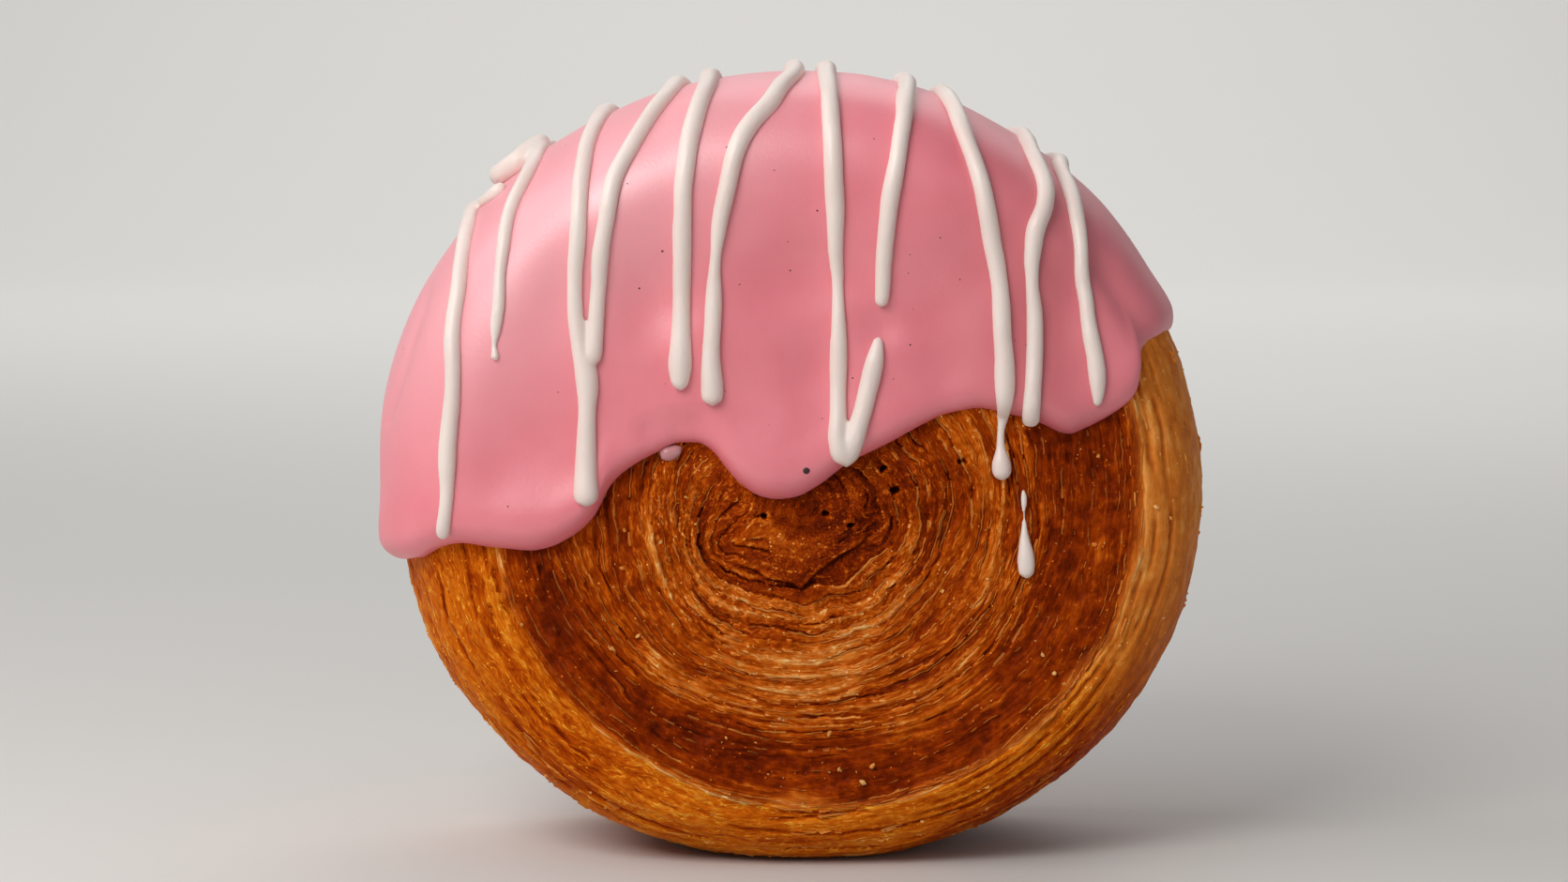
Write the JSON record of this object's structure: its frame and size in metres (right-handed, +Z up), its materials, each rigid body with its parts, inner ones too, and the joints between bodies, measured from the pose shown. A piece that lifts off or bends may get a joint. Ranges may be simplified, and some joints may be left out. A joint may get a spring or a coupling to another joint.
{
  "type": "new york roll",
  "caption": "Round coiled laminated pastry standing on its rim, its upper half coated in pink glaze that drips over both faces, with white icing drizzled across the glaze.",
  "frame": {"origin": "middle of the flat spot on the rim that the roll stands on", "axes": "+X to the roll's right seen from the front, +Y along the coil's axis from the front face to the back, +Z up"},
  "size_m": [0.1026, 0.0511, 0.0975],
  "materials": {
    "crust": "satin",
    "pink_glaze": "satin",
    "white_icing": "satin"
  },
  "bodies": {
    "root": {"roll": "crust", "glaze": "pink_glaze"}
  },
  "joints": []
}
